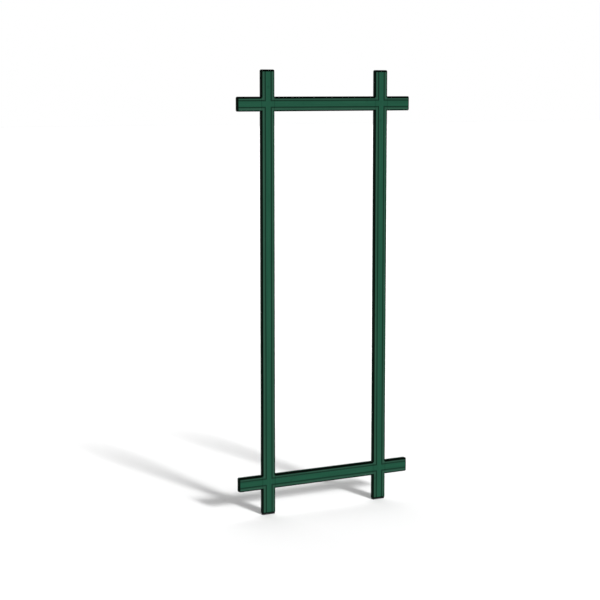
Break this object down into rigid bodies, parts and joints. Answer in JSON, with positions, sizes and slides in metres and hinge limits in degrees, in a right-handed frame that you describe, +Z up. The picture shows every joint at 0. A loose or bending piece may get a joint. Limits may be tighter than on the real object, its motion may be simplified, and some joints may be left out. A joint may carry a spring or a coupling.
{
  "type": "garden frame",
  "caption": "Flat open garden frame of crossed timber posts and rails with overhanging ends, painted dark green, to stand on edge as a plant support.",
  "frame": {"origin": "on the ground, midway between the two posts and midway through the timber's thickness", "axes": "+X along the rails to the right seen from the front, +Z up the posts, the grooved front face looks to -Y"},
  "size_m": [0.776, 0.018, 1.75],
  "materials": {
    "green_timber": "satin opaque garden paint over planed softwood",
    "stainless_screw": "bright stainless steel",
    "steel_pin": "zinc plated steel",
    "brass_insert": "plain brass",
    "pad_plastic": "matt black polyethylene"
  },
  "bodies": {
    "root": {"left_post": "green_timber", "right_post": "green_timber", "top_rail": "green_timber", "bottom_rail": "green_timber", "top_left_joint_screws": "stainless_screw", "top_right_joint_screws": "stainless_screw", "bottom_left_joint_screws": "stainless_screw", "bottom_right_joint_screws": "stainless_screw", "left_foot_pad": "pad_plastic", "right_foot_pad": "pad_plastic", "left_foot_pad_pins": "steel_pin", "right_foot_pad_pins": "steel_pin", "left_foot_insert": "brass_insert", "right_foot_insert": "brass_insert"}
  },
  "joints": []
}
